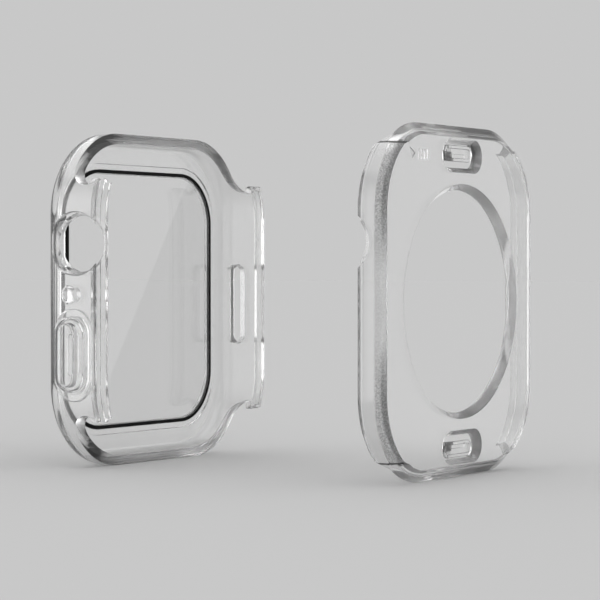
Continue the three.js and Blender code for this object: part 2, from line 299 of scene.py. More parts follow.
def loft(
    name: str,
    rows: Rows,
    middle: Callable[[float], Vector],
    way: Way = Way.DEPTH,
    steps: int = CORNER_STEPS,
    hollow: bool = False,
) -> Object:
    """Strings rounded rectangles along an axis and bridges them into a closed piece.

    The rings are bridged far apart and then pushed to their stations, because rings that share
    a plane can be bridged with a twist.

    Args:
        name: Name of the piece.
        rows: Outlines, each with its row of (inset, station) points, in millimetres.
        middle: Gives the middle of a ring from its station.
        way: Axis of the loft.
        steps: Chords in each corner of a ring.
        hollow: Joins the last ring to the first instead of capping both.

    Returns:
        The new object.
    """
    rotation = (math.pi / 2, 0, 0) if way is Way.DEPTH else (0, math.pi / 2, 0)
    apart = Vector((0, -0.02, 0)) if way is Way.DEPTH else Vector((0.02, 0, 0))
    rings = [(outline.inside(a * MM), middle(b * MM)) for outline, row in rows for a, b in row]
    piece = begin(name, rings[0][1], rotation)
    bmesh.from_edit_mesh(piece.data).verts.layers.int.new("ring")
    bpy.ops.mesh.select_all(action="SELECT")
    for number, (ring, station) in enumerate(rings):
        spot = station + apart * number
        if number:
            bpy.ops.mesh.select_all(action="DESELECT")
            bpy.ops.mesh.primitive_plane_add(size=1.0, location=spot, rotation=rotation)
        shape_ring(piece, number, ring, way, spot, steps)
    last = len(rings) - 1
    pairs = [(number, number + 1) for number in range(last)]
    if hollow:
        pairs.append((last, 0))
    for pair in pairs:
        select_rings(piece, *pair)
        bpy.ops.mesh.bridge_edge_loops()
    for number in range(1, last + 1):
        select_rings(piece, number)
        bpy.ops.transform.translate(value=-apart * number)
    for number in () if hollow else (0, last):
        select_rings(piece, number)
        bpy.ops.mesh.edge_face_add()
    close_up(piece)
    return piece


def draw(name: str, points: Sequence[Vector]) -> Object:
    """Draws a line through points by extruding one vertex.

    Args:
        name: Name of the new object.
        points: The points, in order.

    Returns:
        The new object, in edit mode, with the whole line selected.
    """
    piece = begin(name, points[0], (0, 0, 0))
    bpy.ops.mesh.select_all(action="SELECT")
    bpy.ops.mesh.merge(type="CENTER")
    for last, point in zip(points, points[1:]):
        bpy.ops.mesh.extrude_vertices_move(TRANSFORM_OT_translate={"value": point - last})
    bpy.ops.mesh.select_all(action="SELECT")
    return piece


def plate(name: str, points: Sequence[Vector], push: Vector) -> Object:
    """Solid with a drawn outline, pushed out to a thickness.

    Args:
        name: Name of the piece.
        points: Outline, in order, without its first point again.
        push: Way and distance that the face is extruded.

    Returns:
        The new object.
    """
    piece = draw(name, points)
    bpy.ops.mesh.edge_face_add()
    bpy.ops.mesh.select_all(action="SELECT")
    bpy.ops.mesh.extrude_region_move(TRANSFORM_OT_translate={"value": push})
    close_up(piece)
    return piece


def turned(name: str, points: Sequence[Vector], centre: Vector, axis: Vector, steps: int) -> Object:
    """Solid turned round an axis from a drawn line whose ends lie on that axis.

    Args:
        name: Name of the piece.
        points: The line.
        centre: A point on the axis.
        axis: Direction of the axis.
        steps: Number of steps in a full turn.

    Returns:
        The new object.
    """
    piece = draw(name, points)
    bpy.ops.mesh.spin(
        steps=steps, angle=2 * math.pi, center=centre, axis=axis, use_auto_merge=True
    )
    close_up(piece)
    return piece


def apply_modifier(piece: Object, modifier: Modifier) -> None:
    """Makes a modifier part of the mesh."""
    pick(piece)
    bpy.ops.object.modifier_apply(modifier=modifier.name)


def work(piece: Object, tool: Object, cut: Cut = Cut.AWAY) -> None:
    """Cuts a tool away from a piece, or joins it on, and removes the tool.

    Args:
        piece: The piece that is worked on.
        tool: The tool, or the solid that is joined on.
        cut: Which of the two is done.
    """
    modifier = piece.modifiers.new("work", "BOOLEAN")
    modifier.object = tool
    modifier.operation = cut.value
    modifier.solver = "EXACT"
    apply_modifier(piece, modifier)
    bpy.data.objects.remove(tool)


def smooth(piece: Object) -> None:
    """Takes slivers away and shades a piece smooth, with flat faces kept flat.

    Args:
        piece: The piece.
    """
    open_up(piece, "VERT")
    bpy.ops.mesh.select_all(action="SELECT")
    bpy.ops.mesh.dissolve_degenerate(threshold=SLIVER)
    bpy.ops.mesh.remove_doubles(threshold=SLIVER)
    bpy.ops.object.mode_set(mode="OBJECT")
    bpy.ops.object.shade_smooth_by_angle(angle=SMOOTH_ANGLE)
    modifier = piece.modifiers.new("even_normals", "WEIGHTED_NORMAL")
    modifier.mode = "FACE_AREA"
    modifier.weight = 50
    modifier.keep_sharp = True
    apply_modifier(piece, modifier)


def ease_edges(piece: Object, wanted: Callable[[Vector], bool], width: float) -> None:
    """Rounds the sharp edges of a piece whose middles a test picks.

    Args:
        piece: The piece.
        wanted: Test on the middle of an edge.
        width: Width of the rounding.
    """
    open_up(piece, "EDGE")
    bpy.ops.mesh.select_all(action="DESELECT")
    mesh = bmesh.from_edit_mesh(piece.data)
    for edge in mesh.edges:
        if len(edge.link_faces) != 2 or edge.calc_face_angle(0.0) < SHARP_ANGLE:
            continue
        if wanted((edge.verts[0].co + edge.verts[1].co) / 2):
            edge.select_set(True)
    bmesh.update_edit_mesh(piece.data)
    bpy.ops.mesh.bevel(
        offset_type="OFFSET",
        offset=width,
        segments=2,
        profile=0.5,
        affect="EDGES",
        clamp_overlap=True,
        miter_outer="ARC",
    )
    bpy.ops.object.mode_set(mode="OBJECT")


def score(piece: Object, wanted: Test, places: Iterable[float], axis: Vector = ACROSS) -> None:
    """Scores flat faces across an axis, so that an attribute can vary along them.

    Args:
        piece: The piece.
        wanted: Test on the centre and normal of a face.
        places: Place of each score on the axis.
        axis: The axis.
    """
    open_up(piece, "FACE")
    for place in places:
        mesh = bmesh.from_edit_mesh(piece.data)
        for face in mesh.faces:
            face.select_set(wanted(face.calc_center_median(), face.normal))
        mesh.select_flush_mode()
        bmesh.update_edit_mesh(piece.data)
        bpy.ops.mesh.bisect(plane_co=axis * place, plane_no=axis, threshold=WELD)
    bpy.ops.object.mode_set(mode="OBJECT")


def mark_faces(piece: Object, name: str, wanted: Test) -> None:
    """Writes a face attribute that is 1 where a test holds.

    Args:
        piece: The piece.
        name: Name of the attribute.
        wanted: Test on the centre and normal of a face.
    """
    attribute = piece.data.attributes.new(name, "FLOAT", "FACE")
    faces = ((Vector(face.center), Vector(face.normal)) for face in piece.data.polygons)
    attribute.data.foreach_set("value", [float(wanted(*face)) for face in faces])


def shade_corners(piece: Object, name: str, shade: Shade) -> None:
    """Writes a face-corner attribute.

    Args:
        piece: The piece.
        name: Name of the attribute.
        shade: Gives a value from a corner's place and its face's normal.
    """
    mesh = piece.data
    attribute = mesh.attributes.new(name, "FLOAT", "CORNER")
    values = [0.0] * len(mesh.loops)
    for face in mesh.polygons:
        normal = Vector(face.normal)
        for corner in face.loop_indices:
            place = mesh.vertices[mesh.loops[corner].vertex_index].co
            values[corner] = shade(place, normal)
    attribute.data.foreach_set("value", values)


def dress(piece: Object, material: Material, body: str, node: str, slot: str) -> None:
    """Gives a finished piece its material and its place in the frame.

    Args:
        piece: The finished mesh.
        material: Its material.
        body: CAD body that it rides on.
        node: CAD node that it stands for.
        slot: Slot of the record that its finish comes from; not used.
    """
    piece.data.materials.clear()
    piece.data.materials.append(material)
    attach(piece, body)
    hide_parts(node)
    faces = len(piece.data.polygons)
    log.info("%s: %d faces, for node %s on body %s", piece.name, faces, node, body)


def grey(level: float) -> tuple[float, float, float, float]:
    """Linear grey as a socket takes it."""
    return (level, level, level, 1.0)


class Wiring:
    """Short ways to add nodes to a tree and to join them.

    A value given to one of its methods is either the output of another node or a constant.
    """

    def __init__(self, tree: NodeTree) -> None:
        """Starts on one tree."""
        self.tree = tree

    def fill(self, node: Node, sockets: dict[str | int, object]) -> None:
        """Links an output to each of some inputs of a node, or sets the input's own value.

        Args:
            node: The node.
            sockets: Outputs or values by the name or number of the input.
        """
        for name, value in sockets.items():
            if isinstance(value, NodeSocket):
                self.tree.links.new(value, node.inputs[name])
            else:
                node.inputs[name].default_value = value

    def add(
        self, kind: str, sockets: dict[str | int, object] | None = None, **settings: object
    ) -> Node:
        """Adds a node.

        Args:
            kind: Its type, without ShaderNode in front.
            sockets: Values for its inputs, by name or number.
            settings: Settings of the node, made before its inputs are filled.

        Returns:
            The new node.
        """
        made = self.tree.nodes.new(f"ShaderNode{kind}")
        for name, value in settings.items():
            setattr(made, name, value)
        self.fill(made, sockets or {})
        return made

    def number(self, operation: str, *values: object, clamp: bool = False) -> NodeSocket:
        """Output of a Math node on its values."""
        settings = {"operation": operation, "use_clamp": clamp}
        return self.add("Math", dict(enumerate(values)), **settings).outputs[0]

    def vector(self, operation: str, *values: object) -> NodeSocket:
        """Output of a Vector Math node on its values."""
        node = self.add("VectorMath", dict(enumerate(values)), operation=operation)
        return node.outputs["Value" if operation == "DOT_PRODUCT" else "Vector"]

    def spread(
        self,
        value: NodeSocket,
        start: float,
        end: float,
        low: float = 0.0,
        high: float = 1.0,
        ease: str = "LINEAR",
    ) -> NodeSocket:
        """Maps a value from one range onto another and holds it at both ends.

        Args:
            value: The value.
            start: Where the range that it comes from starts.
            end: Where that range ends.
            low: What the start becomes.
            high: What the end becomes.
            ease: How it gets from one to the other.

        Returns:
            The mapped value.
        """
        numbers = {"From Min": start, "From Max": end, "To Min": low, "To Max": high}
        node = self.add("MapRange", {"Value": value, **numbers}, interpolation_type=ease)
        return node.outputs["Result"]

    def mix(self, factor: NodeSocket, first: object, second: object) -> NodeSocket:
        """Colour between two others."""
        sockets = {"Factor": factor, "A": first, "B": second}
        return self.add("Mix", sockets, data_type="RGBA").outputs["Result"]

    def where(self, kind: str = "Object") -> NodeSocket:
        """Place of the shaded point."""
        return self.add("TexCoord").outputs[kind]

    def height(self, where: NodeSocket) -> NodeSocket:
        """Z of a place."""
        return self.add("SeparateXYZ", {0: where}).outputs["Z"]

    def noise(self, scale: float, detail: float, where: NodeSocket | None = None) -> NodeSocket:
        """Noise over the surface, or over other coordinates."""
        sockets = {"Vector": where or self.where(), "Scale": scale, "Detail": detail}
        return self.add("TexNoise", sockets).outputs["Fac"]

    def mark(self, name: str) -> NodeSocket:
        """Value of an attribute of the mesh."""
        return self.add("Attribute", attribute_name=name).outputs["Fac"]

    def bump(self, height: NodeSocket, strength: float, distance: float) -> NodeSocket:
        """Normal that a height bends."""
        sockets = {"Height": height, "Strength": strength, "Distance": distance}
        return self.add("Bump", sockets).outputs["Normal"]


def new_material(name: str) -> tuple[Material, Node, Wiring]:
    """Starts a material.

    Args:
        name: Name of the material.

    Returns:
        The material, its Principled shader and the wiring of its nodes.
    """
    material = bpy.data.materials.new(name)
    material.use_nodes = True
    tree = material.node_tree
    return material, tree.nodes["Principled BSDF"], Wiring(tree)


def new_group(
    name: str, inputs: dict[str, str], outputs: dict[str, str]
) -> tuple[Wiring, Sequence[NodeSocket], Node]:
    """Starts a node group.

    Args:
        name: Name of the group.
        inputs: Kind of each input, by its name.
        outputs: Kind of each output, by its name.

    Returns:
        The wiring of its nodes, what comes in, and the node that what goes out is given to.
    """
    group = bpy.data.node_groups.new(name, "ShaderNodeTree")
    for way, sockets in (("INPUT", inputs), ("OUTPUT", outputs)):
        for label, kind in sockets.items():
            group.interface.new_socket(label, in_out=way, socket_type=f"NodeSocket{kind}")
    come = group.nodes.new("NodeGroupInput").outputs
    return Wiring(group), come, group.nodes.new("NodeGroupOutput")


@cache
def moulded_skin() -> NodeTree:
    """Node group for polished moulded plastic: faint smudges in the gloss and fine waviness.

    Returns:
        The group, with inputs Polish, Smudge, Satin and Grain, and outputs Roughness and Height.
    """
    inputs = dict.fromkeys(("Polish", "Smudge", "Satin", "Grain"), "Float")
    outputs = dict.fromkeys(("Roughness", "Height"), "Float")
    wiring, given, out = new_group("moulded_skin", inputs, outputs)
    smudges = wiring.spread(wiring.noise(scale=130.0, detail=4.0), 0.42, 0.72)
    smear = wiring.number("MULTIPLY", smudges, given["Smudge"])
    gloss = wiring.number("ADD", smear, given["Polish"])
    rough = wiring.number("ADD", gloss, given["Satin"], clamp=True)
    waves = wiring.noise(scale=260.0, detail=1.0)
    grain = wiring.number("MULTIPLY", wiring.noise(scale=9000.0, detail=2.0), given["Grain"])
    height = wiring.number("MULTIPLY_ADD", waves, 0.2, grain)
    wiring.fill(out, {"Roughness": rough, "Height": height})
    return wiring.tree


@cache
def painted_edge_shade() -> NodeTree:
    """Node group for painted shade on cut edges: darkens a colour in fine streaks.

    Returns:
        The group, with inputs Colour and Painted Shade, and output Colour.
    """
    inputs = {"Colour": "Color", "Painted Shade": "Float"}
    wiring, given, out = new_group("painted_edge_shade", inputs, {"Colour": "Color"})
    stretched = wiring.vector("MULTIPLY", wiring.where(), (120.0, 2600.0, 1500.0))
    streaks = wiring.noise(scale=1.0, detail=2.0, where=stretched)
    swing = wiring.spread(streaks, 0.3, 0.7, low=0.86, high=1.2)
    # Painted shade: the colour is pulled towards near black by the attribute's share, in streaks.
    amount = wiring.number("MULTIPLY", given["Painted Shade"], swing, clamp=True)
    wiring.fill(out, {"Colour": wiring.mix(amount, given["Colour"], grey(0.004))})
    return wiring.tree


@dataclass(frozen=True)
class SparkedSkin:
    """Spark-eroded skin, speckled dark, that fades towards the middle of the case.

    Attributes:
        mark: Face attribute that is 1 on sparked faces.
        crease_shade: Face attribute, 1 where painted shade runs in the creases at the strip's ends.
        crease_height: Height of the creases from the middle.
        crease_width: Width of the line of painted shade in a crease.
        shade: Linear colour of a speckle.
        middle: Height of the middle of the case.
        calm: Height from the middle up to which the skin is at its lightest.
        rough: Height from the middle past which it is at its darkest.
        least: Share of the speckles that the calm part keeps.
        between: Share of a speckle's darkness that lies between the speckles.
    """

    mark: str = "sparked"
    crease_shade: str = "crease_shade"
    crease_height: float = 20.8 * MM
    crease_width: float = 0.42 * MM
    shade: float = 0.36
    middle: float = 23.7 * MM
    calm: float = 3.0 * MM
    rough: float = 12.0 * MM
    least: float = 0.38
    between: float = 0.25

    def colour(self, wiring: Wiring, tint: Triple) -> NodeSocket:
        """Adds the nodes that shade the skin.

        Args:
            wiring: Wiring of the material that they are added to.
            tint: Linear colour of the plain plastic.

        Returns:
            The colour output.
        """
        speckle = wiring.noise(scale=4600.0, detail=2.5)
        grain = wiring.spread(speckle, 0.40, 0.57, self.between)
        lift = wiring.number("SUBTRACT", wiring.height(wiring.where()), self.middle)
        away = wiring.number("ABSOLUTE", lift)
        fade = wiring.spread(away, self.calm, self.rough, self.least, ease="SMOOTHSTEP")
        faded = wiring.number("MULTIPLY", grain, fade)
        spots = wiring.number("MULTIPLY", faded, wiring.mark(self.mark))
        spotted = wiring.mix(spots, (*tint, 1.0), grey(self.shade))
        # Painted shade: a near-black line along each crease at the ends of the strip.
        offset = wiring.number("SUBTRACT", away, self.crease_height)
        apart = wiring.number("ABSOLUTE", offset)
        line = wiring.spread(apart, self.crease_width / 2, self.crease_width / 4)
        painted_crease_shade = wiring.number("MULTIPLY", line, wiring.mark(self.crease_shade))
        return wiring.mix(painted_crease_shade, spotted, grey(0.01))


@dataclass(frozen=True)
class PaintedReflection:
    """Painted reflection of a light sheet: faint second tone on flat glass, past a slanted line.

    Attributes:
        top: A point of the line, as (X, Z).
        foot: Another point of the line.
        tone: Linear colour of the painted reflection past the line.
        blur: Width of the change.
    """

    top: Point = (11.0 * MM, 39.3 * MM)
    foot: Point = (-6.5 * MM, 13.4 * MM)
    tone: float = 0.855
    blur: float = 0.25 * MM

    def colour(self, wiring: Wiring, tint: Triple) -> NodeSocket:
        """Adds the nodes that paint the reflection on the glass.

        Args:
            wiring: Wiring of the material that they are added to.
            tint: Linear colour before the line.

        Returns:
            The colour output.
        """
        run, rise = self.top[0] - self.foot[0], self.top[1] - self.foot[1]
        length = math.hypot(run, rise)
        across = Vector((rise / length, 0, -run / length))
        line = across.x * self.top[0] + across.z * self.top[1]
        reach = wiring.vector("DOT_PRODUCT", wiring.where(), across)
        edge = wiring.spread(reach, line - self.blur / 2, line + self.blur / 2)
        # Painted reflection: the glass takes the second tone past the line.
        return wiring.mix(edge, (*tint, 1.0), grey(self.tone))


@dataclass(frozen=True)
class ClearPlastic:
    """Clear moulded plastic: faintly milky, polished, and darker the thicker it is.

    Attributes:
        name: Name of the material.
        tint: Linear colour of the plastic.
        clearness: Share of light that goes through and isn't scattered.
        polish: Roughness of the polished skin.
        smudge: Roughness added where the skin is smudged.
        satin: Roughness added where the marked faces are.
        mark: Name of the face attribute that marks satin or sparked faces.
        grain: Height of the grain there, against the plain waviness.
        ink: Linear colour of the thick of the plastic.
        density: How fast the thick of the plastic darkens light, per metre.
        bend: How far light bends in it, as an index of refraction.
        painted_shade: Name of the attribute that says how much painted shade darkens an edge.
        skin: What varies the colour over the surface, if anything.
    """

    name: str
    tint: Triple = (0.985, 0.985, 0.985)
    clearness: float = 0.92
    polish: float = 0.02
    smudge: float = 0.02
    satin: float = 0.0
    mark: str = ""
    grain: float = 0.0
    ink: Triple = (0.3, 0.3, 0.3)
    density: float = 14.0
    bend: float = 1.49
    painted_shade: str = ""
    skin: SparkedSkin | PaintedReflection | None = None

    def build(self) -> Material:
        """Makes the material.

        Returns:
            The new material.
        """
        material, shader, wiring = new_material(self.name)
        plain = (*self.tint, 1.0)
        shader.inputs["Base Color"].default_value = plain
        colour = self.skin.colour(wiring, self.tint) if self.skin else plain
        # Painted shade on edges, darker where the attribute is larger.
        if self.painted_shade:
            sockets = {"Colour": colour, "Painted Shade": wiring.mark(self.painted_shade)}
            shaded_colour = wiring.add("Group", sockets, node_tree=painted_edge_shade())
            colour = shaded_colour.outputs["Colour"]
        touch = {"Polish": self.polish, "Smudge": self.smudge}
        if self.mark:
            mask = wiring.mark(self.mark)
            touch["Satin"] = wiring.number("MULTIPLY", mask, self.satin)
            touch["Grain"] = wiring.number("MULTIPLY", mask, self.grain)
        skin = wiring.add("Group", touch, node_tree=moulded_skin()).outputs
        sockets = {
            "IOR": self.bend,
            "Transmission Weight": self.clearness,
            "Base Color": colour,
            "Roughness": skin["Roughness"],
            "Normal": wiring.bump(skin["Height"], strength=0.25, distance=0.02 * MM),
        }
        wiring.fill(shader, sockets)
        thick = {"Color": (*self.ink, 1.0), "Density": self.density}
        volume = wiring.add("VolumeAbsorption", thick).outputs[0]
        wiring.fill(wiring.tree.nodes["Material Output"], {"Volume": volume})
        return material


@dataclass(frozen=True)
class InkedEdge:
    """Satin black ink on the edge of the glass, or the dark film in front of it.

    Attributes:
        name: Name of the material.
        colour: Linear colour of the ink.
        roughness: Its roughness, which varies a little.
        shine: Level of its mirror reflection.
        dust: How many times lighter it is where it is dusty.
    """

    name: str
    colour: Triple = (0.0008, 0.0008, 0.0009)
    roughness: float = 0.42
    shine: float = 0.06
    dust: float = 2.2

    def build(self) -> Material:
        """Makes the material.

        Returns:
            The new material.
        """
        material, shader, wiring = new_material(self.name)
        grime = wiring.noise(scale=2600.0, detail=3.0)
        dusty = (*(level * self.dust for level in self.colour), 1.0)
        low, high = self.roughness - 0.06, self.roughness + 0.08
        sockets = {
            "Specular IOR Level": self.shine,
            "Base Color": wiring.mix(grime, (*self.colour, 1.0), dusty),
            "Roughness": wiring.spread(grime, 0.0, 1.0, low, high),
            "Normal": wiring.bump(grime, strength=0.2, distance=0.01 * MM),
        }
        wiring.fill(shader, sockets)
        return material


@dataclass(frozen=True)
class CaseSizes:
    """Sizes that both halves share."""

    width: float = 42.8 * MM
    height: float = 47.4 * MM
    corner: float = 11.8 * MM
    crown_radius: float = 4.3 * MM
    crown_depth: float = 5.5 * MM
    crown_height: float = 7.9 * MM
    hole_depth: float = 4.4 * MM
    button_height: float = -7.6 * MM

    @property
    def side(self) -> float:
        """Distance across to the outer face of the crown side."""
        return -self.width / 2

    @property
    def outline(self) -> Outline:
        """Outline of the closed case."""
        return Outline(self.width, self.height, self.corner)

    def from_crown(self, depth: float, z: float) -> Point:
        """How far behind and above the crown's axis a point lies, in millimetres."""
        return depth - self.crown_depth / MM, z - self.crown_height / MM


@dataclass
class CasePart:
    """A part at the place of its half of the case, with the tools that several parts need."""

    place: Place
    case: CaseSizes

    def beam(self, name: str, points: Sequence[Point], sign: int, half: float = BEAM_REACH) -> Object:
        """Tool that runs across the case at one end.

        Args:
            name: Name of the tool.
            points: Its outline as (depth, height) points, in millimetres.
            sign: 1 for the upper end and -1 for the lower one.
            half: Half of its length.

        Returns:
            The tool.
        """
        outline = [self.place.at(-half, depth * MM, sign * z * MM) for depth, z in points]
        return plate(name, outline, Vector((2 * half, 0, 0)))

    def bore(self, name: str, radii: Sequence[Point], depth: float, z: float) -> Object:
        """Tool for a round hole through the crown side.

        Args:
            name: Name of the tool.
            radii: Row of (distance behind the side, radius) points, in millimetres.
            depth: Depth of the hole's axis.
            z: Height of the hole's axis.

        Returns:
            The tool.
        """
        points = [(radii[0][0], 0.0), *radii, (radii[-1][0], 0.0)]
        line = [
            self.place.at(self.case.side + back * MM, depth, z + radius * MM)
            for back, radius in points
        ]
        return turned(name, line, self.place.at(0, depth, z), ACROSS, BORE_STEPS)


@dataclass
class FrontShell(CasePart):
    """Front half of the case: plate with the screen window, rounded wall, tongue and groove."""

    side_wall: float = 2.2 * MM
    end_wall: float = 1.5 * MM
    rim_depth: float = 4.0 * MM
    rim_rounding: float = 0.12 * MM
    button_hole: Outline = Outline(4.7 * MM, 10.4 * MM, 2.34 * MM)
    button_pocket: Outline = Outline(6.1 * MM, 12.9 * MM, 3.04 * MM)
    speaker: Outline = Outline(2.6 * MM, 12.0 * MM, 1.29 * MM)
    speaker_height: float = -1.0 * MM
    microphone_height: float = 0.8 * MM

    def ends(self, side: float, end: float, radius: float) -> Outline:
        """Outline inside the case that lies deeper from its ends than from its sides."""
        length, height = self.case.width - 2 * side * MM, self.case.height - 2 * end * MM
        return Outline(length, height, radius * MM)

    def profile(self) -> Rows:
        """Rows round the whole section of the shell.

        Returns:
            The rows, from the front face round the wall and back to it.
        """
        outside = turn((2.2, 0), (0, 0), (0, 2.2), 10)
        outside += turn((0, 8.5), (0, 8.8), (0.3, 8.8), 4)
        outside += [(0.5, 8.8), (0.55, 8.74), (0.55, 7.98), (0.63, 7.9), (1.27, 7.9)]
        outside += [(1.35, 7.98), (1.35, 8.76), (1.45, 8.84), (1.45, 9.54), (1.48, 9.6)]
        wall = [(0, 9.48)] + turn((0, 1.75), (0, 1.2), (0.45, 1.2), 6)
        window = [(-0.04, 0.5), (0, 0.46)] + turn((0, 0.25), (0, 0), (-0.25, 0), 4)
        return (
            (self.case.outline, outside),
            (self.ends(2.1, 1.49, 10.0), [(0, 9.6)]),
            (self.ends(2.2, 1.5, 9.95), wall),
            (self.ends(2.75, 4.2, 8.52), [(-0.04, 1.2), (0, 1.15), (0, 1.0), (0.05, 0.95)]),
            (self.ends(3.58, 5.03, 7.69), [(-0.04, 0.95), (0, 0.9), (0, 0.5)]),
            (self.ends(4.25, 5.7, 7.02), window),
        )

    def band_tool(self, sign: int) -> Object:
        """Tool that opens the wall behind the rim at one end, with the rise and the horn.

        Args:
            sign: 1 for the upper opening and -1 for the lower one.

        Returns:
            The tool.
        """
        foot, start, horn = 16.0, 18.9, 16.9
        points = turn((4.0, start), (4.0, foot), (6.6, foot), 14)
        points += [(7.0, foot), (7.15, foot + 0.06), (7.3, foot + 0.3), (7.42, horn - 0.2)]
        points += turn((7.46, horn - 0.15), (7.5, horn), (7.7, horn), 3)
        points += turn((8.4, horn), (8.8, horn), (8.8, horn - 0.45), 5)
        points += [(8.8, 16.3), (10.8, 16.3), (10.8, 24.9), (4.0, 24.9)]
        return self.beam("band_tool", points, sign)

    def crown_tool(self) -> Object:
        """Tool for the crown opening, narrower behind the seam.

        Returns:
            The tool.
        """
        radius = self.case.crown_radius / MM
        wide, narrow = radius + 0.3, radius - 0.4
        rim = [(-1.0, wide)] + turn((0, wide), (0, radius), (0.3, radius), 5)
        rim += [(1.35, radius), (1.43, narrow + 0.1), (1.5, narrow), (3.2, narrow)]
        return self.bore("round_tool", rim, self.case.crown_depth, self.case.crown_height)

    def microphone_tool(self) -> Object:
        """Tool for the microphone hole, with a countersunk mouth."""
        rim = [(-1.0, 1.35), (-0.001, 1.35), (0.12, 1.17), (0.3, 1.1), (3.2, 1.1)]
        return self.bore("round_tool", rim, self.case.hole_depth, self.microphone_height)

    def slot_tools(self) -> Iterable[Object]:
        """Makes the tools for the side button's hole and pocket and for the speaker opening.

        Yields:
            Each tool, once the one before it has been used.
        """
        case = self.case
        near = self.place.along(case.side, case.hole_depth, case.button_height)
        far = self.place.along(-case.side, case.hole_depth, self.speaker_height)
        rim = [(-0.15, -1.0), (-0.15, -0.001), (-0.05, 0.06), (0, 0.15), (0, 3.2)]
        slots = (
            (near, self.button_hole, rim),
            (near, self.button_pocket, [(0.1, 1.3), (0, 1.4), (0, 3.2)]),
            (far, self.speaker, [(0, -3.2), (0, -0.1), (-0.1, 0.001), (-0.1, 1.0)]),
        )
        for middle, outline, row in slots:
            yield loft("slot_tool", [(outline, row)], middle, Way.SIDE, ROUND_STEPS)

    def on_rim(self, middle: Vector) -> bool:
        """Whether the middle of an edge or face lies on the cut face of a band rim."""
        return abs(self.place.face_y - middle.y - self.rim_depth) < 0.004 * MM

    def build(self) -> Object:
        """Makes the mesh of the shell.

        Returns:
            The finished piece.
        """
        shell = loft("shell_front", self.profile(), self.place.down(), hollow=True)
        for sign in (1, -1):
            work(shell, self.band_tool(sign))
        ease_edges(shell, self.on_rim, self.rim_rounding)
        work(shell, self.crown_tool())
        work(shell, self.microphone_tool())
        for tool in self.slot_tools():
            work(shell, tool)
        return shell

    def satin(self, centre: Vector, normal: Vector) -> bool:
        """Tells the satin inner walls from the other faces.

        Args:
            centre: Centre of a face.
            normal: Its normal.

        Returns:
            Whether it is satin.
        """
        x, depth, z = self.place.spot(centre)
        half = (self.case.width / 2 - self.side_wall) / MM + 0.05
        top = (self.case.height / 2 - self.end_wall) / MM + 0.05
        inward = normal.x * x + normal.z * z < 0 and abs(normal.y) < 0.5
        return inward and depth > 1.3 and abs(x) < half and abs(z) < top

    def painted_shade(self, place: Vector, normal: Vector) -> float:
        """Painted shade of a corner: round the crown opening and on the cut faces of the rims.

        Args:
            place: Place of the corner.
            normal: Normal of its face.

        Returns:
            The share of painted shade.
        """
        x, depth, z = self.place.spot(place)
        along, up = self.case.from_crown(depth, z)
        near = math.hypot(along, up) < self.case.crown_radius / MM + 0.35
        if x < -18.5 and near and abs(normal.x) < 0.98:
            stops = [(-150, 0.1), (-75, 0.75), (-30, 0.6), (20, 0.25), (70, 0.3), (110, 0.65)]
            return ramp(math.degrees(math.atan2(up, along)), stops + [(165, 0.1)])
        if abs(z) < 17.5 or not 3.97 < depth < 4.6 or normal.y > -0.35:
            return 0.0
        if z > 0:
            stops = [(-19.2, 0.05), (-18.3, 0.3), (-17.2, 1.0), (-14, 1.15), (-11, 0.9)]
            stops += [(-6, 0.5), (6, 0.38), (12, 0.6), (16, 0.85), (19, 0.7), (21, 0.2)]
        else:
            stops = [(-19.0, 0.05), (-18.0, 0.3), (-17.0, 1.0), (-14.5, 1.0), (-12, 0.6)]
            stops += [(-7, 0.08), (8, 0.0)]
        return ramp(x, stops)

    def finish(self, shell: Object, material: Material) -> None:
        """Smooths and dresses the shell, with a satin skin on its inner walls.

        Args:
            shell: The mesh.
            material: Its material.
        """
        # Scores the rims' cut faces, so that their painted shade can vary across the case.
        places = (-18, -16, -14, -12, -9, -6, -3, 0, 3, 6, 9, 12, 14, 16, 18)
        places = [self.place.middle_x + x * MM for x in places]
        score(shell, lambda centre, normal: normal.y < -0.99 and self.on_rim(centre), places)
        smooth(shell)
        # Painted shade round the crown opening and on the cut faces of the rims.
        shade_corners(shell, "painted_shade", self.painted_shade)
        mark_faces(shell, "satin", self.satin)
        dress(shell, material, "shell", "front_shell", "shell_plastic")


@dataclass
class ScreenGlass(CasePart):
    """Flat glass in its black edge ring, with the bond film in front of them."""

    outline: Outline = Outline(34.66 * MM, 36.36 * MM, 7.2 * MM)

    def build(self, glass: Material, ink: Material, bond: Material) -> None:
        """Makes the glass with its edges ground, the ring round it and the film.

        Args:
            glass: Material of the glass.
            ink: Material of the ring.
            bond: Material of the film.
        """
        pane = [(0.04, 0.65), (0, 0.69), (0, 1.16), (0.04, 1.2)]
        ring = [(-0.46, 0.65), (-0.47, 0.67), (-0.47, 1.17), (-0.45, 1.2)]
        ring += [(0, 1.2), (0.03, 1.18), (0.03, 0.66), (0.02, 0.65)]
        film = [(-0.47, 0.51), (-0.47, 0.64), (0.02, 0.64), (0.02, 0.51)]
        layers = (
            ("glass_pane", pane, False, glass, "screen_glass", "screen_glass"),
            ("glass_ring", ring, True, ink, "glass_edge_ring", "black_edge"),
            ("bond_film", film, True, bond, "glass_bond", "bond_film"),
        )
        for name, row, hollow, material, node, slot in layers:
            piece = loft(name, [(self.outline, row)], self.place.down(), hollow=hollow)
            smooth(piece)
            dress(piece, material, "shell", node, slot)


